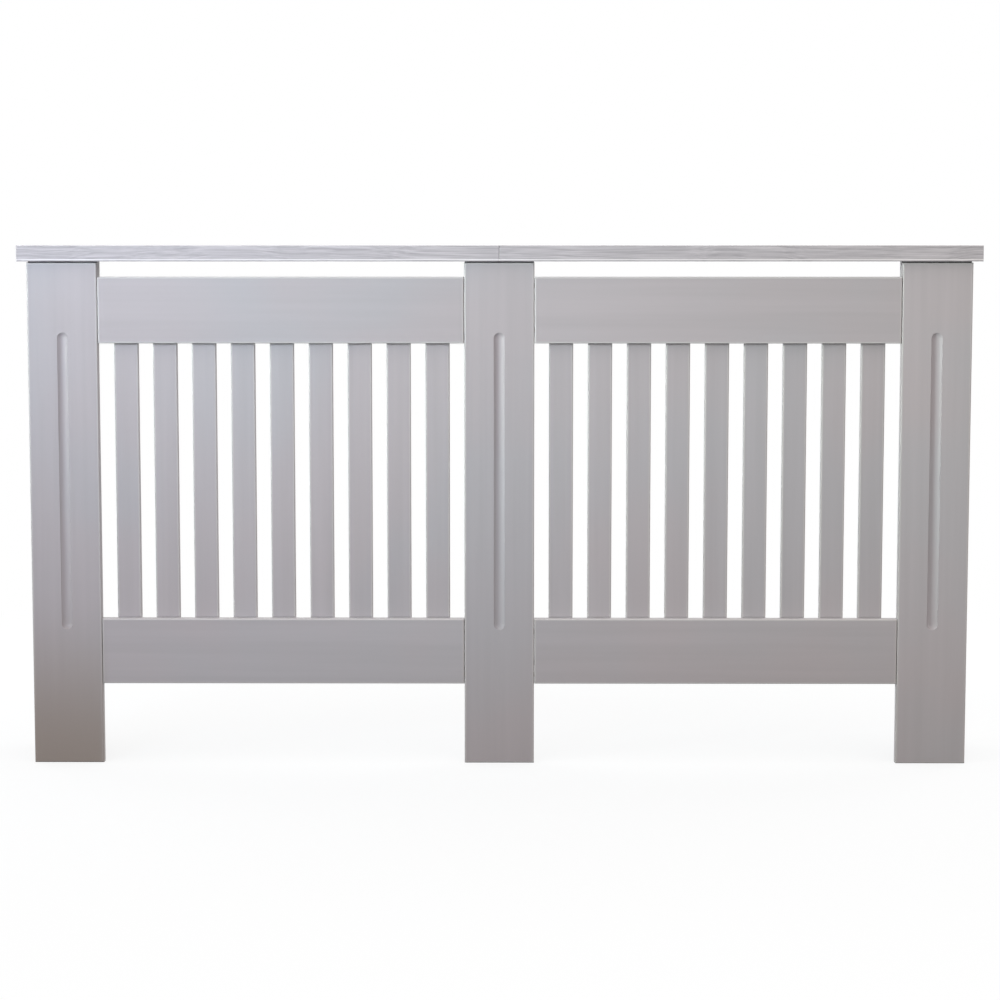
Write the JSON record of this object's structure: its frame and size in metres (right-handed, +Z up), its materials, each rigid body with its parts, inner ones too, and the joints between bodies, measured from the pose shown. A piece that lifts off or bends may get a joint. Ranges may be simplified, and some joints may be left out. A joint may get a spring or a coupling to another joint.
{
  "type": "radiator cover cabinet",
  "caption": "Long open-backed radiator cover with a slatted front, fluted posts, a vent slot under an overhanging shelf top, and wall brackets.",
  "frame": {"origin": "centre of the footprint's box at the floor", "axes": "+X to the right seen from the front, +Y towards the wall behind it, +Z up"},
  "size_m": [1.506, 0.19, 0.82],
  "materials": {
    "painted_board": "satin",
    "laminate": "matte",
    "edging": "matte",
    "zinc_plate": "satin",
    "zinc_casting": "satin",
    "fastener_steel": "satin",
    "beech": "matte"
  },
  "bodies": {
    "root": {"bottom_rail_left": "painted_board", "bottom_rail_right": "painted_board", "bracket_screws": "fastener_steel", "cam_bolts": "fastener_steel", "cam_discs": "zinc_casting", "centre_batten": "painted_board", "dowels": "beech", "end_edging_left": "edging", "end_edging_right": "edging", "front_edging_left": "edging", "front_edging_right": "edging", "post_centre": "painted_board", "post_cleat_left": "painted_board", "post_cleat_right": "painted_board", "post_left": "painted_board", "post_right": "painted_board", "seam_plate": "painted_board", "side_panel_left": "painted_board", "side_panel_right": "painted_board", "slat_left_1": "painted_board", "slat_left_2": "painted_board", "slat_left_3": "painted_board", "slat_left_4": "painted_board", "slat_left_5": "painted_board", "slat_left_6": "painted_board", "slat_left_7": "painted_board", "slat_left_8": "painted_board", "slat_left_9": "painted_board", "slat_pins": "fastener_steel", "slat_right_1": "painted_board", "slat_right_2": "painted_board", "slat_right_3": "painted_board", "slat_right_4": "painted_board", "slat_right_5": "painted_board", "slat_right_6": "painted_board", "slat_right_7": "painted_board", "slat_right_8": "painted_board", "slat_right_9": "painted_board", "top_board_left": "laminate", "top_board_right": "laminate", "top_rail_left": "painted_board", "top_rail_right": "painted_board", "wall_bracket_centre": "zinc_plate", "wall_bracket_left": "zinc_plate", "wall_bracket_right": "zinc_plate", "wood_screws": "fastener_steel"}
  },
  "joints": []
}
